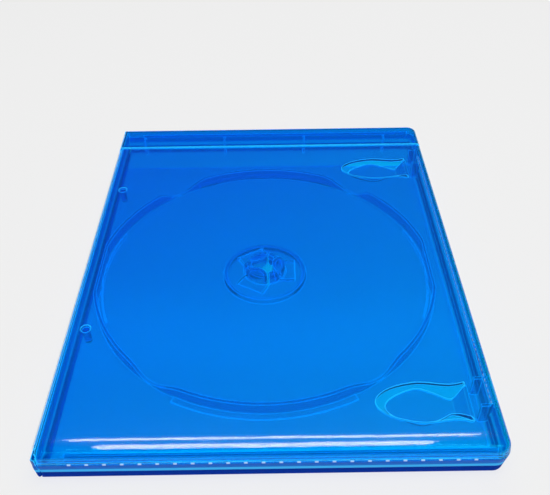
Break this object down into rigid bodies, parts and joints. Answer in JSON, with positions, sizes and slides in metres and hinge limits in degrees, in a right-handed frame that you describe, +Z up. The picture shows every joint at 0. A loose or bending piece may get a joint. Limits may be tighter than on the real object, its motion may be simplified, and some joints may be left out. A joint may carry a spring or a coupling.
{
  "type": "optical disc keep case",
  "caption": "Slim translucent blue optical disc keep case with a spring-finger disc hub, hinged spine and front cover, booklet clips and a clear outer sleeve",
  "frame": {"origin": "centre of the rectangle that the closed case rests on, on the table", "axes": "+X from the spine towards the opening edge, +Y from the near end towards the header, +Z up, out of the front cover"},
  "size_m": [0.135, 0.1714, 0.013],
  "materials": {
    "case_blue": "glossy translucent blue polypropylene",
    "sleeve_clear": "clear glossy polypropylene film"
  },
  "bodies": {
    "tray": {"back_tray": "case_blue", "sleeve_back": "sleeve_clear"},
    "finger_east": {"hub_finger_east": "case_blue"},
    "finger_northwest": {"hub_finger_northwest": "case_blue"},
    "finger_southwest": {"hub_finger_southwest": "case_blue"},
    "spine": {"spine_panel": "case_blue", "sleeve_spine": "sleeve_clear"},
    "cover": {"front_cover": "case_blue", "sleeve_front": "sleeve_clear"}
  },
  "joints": [
    {"name": "tray_spine_hinge", "type": "hinge", "parent": "tray", "child": "spine", "pos_m": [-0.0672, 0, 0.0003], "axis": [0, -1, 0], "range_deg": [0, 90]},
    {"name": "spine_cover_hinge", "type": "hinge", "parent": "spine", "child": "cover", "pos_m": [-0.0672, 0, 0.0127], "axis": [0, -1, 0], "range_deg": [0, 90]},
    {"name": "finger_east_flex", "type": "hinge", "parent": "tray", "child": "finger_east", "pos_m": [0.00882, -0.0022, 0.00305], "axis": [0, -1, 0], "range_deg": [0, 10], "stiffness_Nm_per_rad": 0.02},
    {"name": "finger_northwest_flex", "type": "hinge", "parent": "tray", "child": "finger_northwest", "pos_m": [-0.00801, 0.00752, 0.00305], "axis": [0.866, 0.5, 0], "range_deg": [0, 10], "stiffness_Nm_per_rad": 0.02},
    {"name": "finger_southwest_flex", "type": "hinge", "parent": "tray", "child": "finger_southwest", "pos_m": [-0.00801, -0.01192, 0.00305], "axis": [-0.866, 0.5, 0], "range_deg": [0, 10], "stiffness_Nm_per_rad": 0.02}
  ]
}
